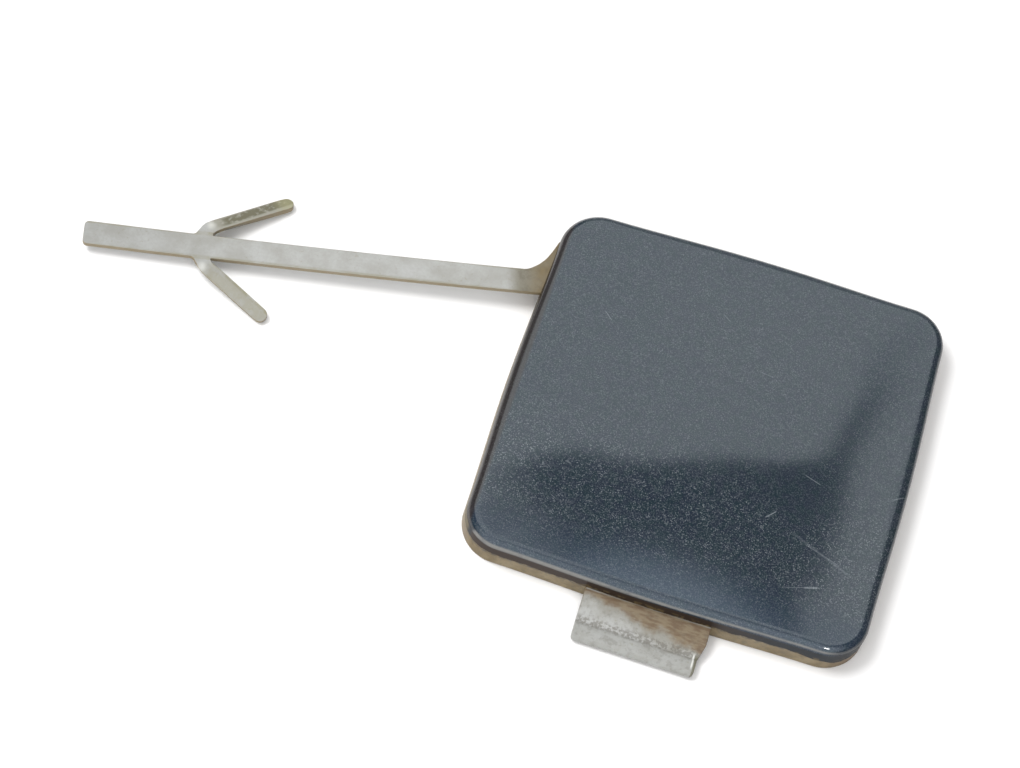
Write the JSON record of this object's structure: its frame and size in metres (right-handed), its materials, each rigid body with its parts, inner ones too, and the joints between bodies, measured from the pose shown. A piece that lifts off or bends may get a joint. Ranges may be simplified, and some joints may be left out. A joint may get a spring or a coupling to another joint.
{
  "type": "tow eye cover",
  "caption": "Square hollow cap that closes the towing eye socket of a car bumper, with a catch tab and a barbed retaining strap.",
  "frame": {"origin": "middle of the cap in the plane of its rim", "axes": "+Z out of the painted face, -X along the retaining strap, -Y out of the catch tab"},
  "size_m": [0.1682, 0.0882, 0.008],
  "materials": {
    "cover": "bare moulded plastic, worn and dirty on the tab and the strap",
    "paint": "dark blue-grey metallic paint with clear coat on the face and its rounded edge"
  },
  "bodies": {
    "root": {"tow_eye_cover": "cover"}
  },
  "joints": []
}
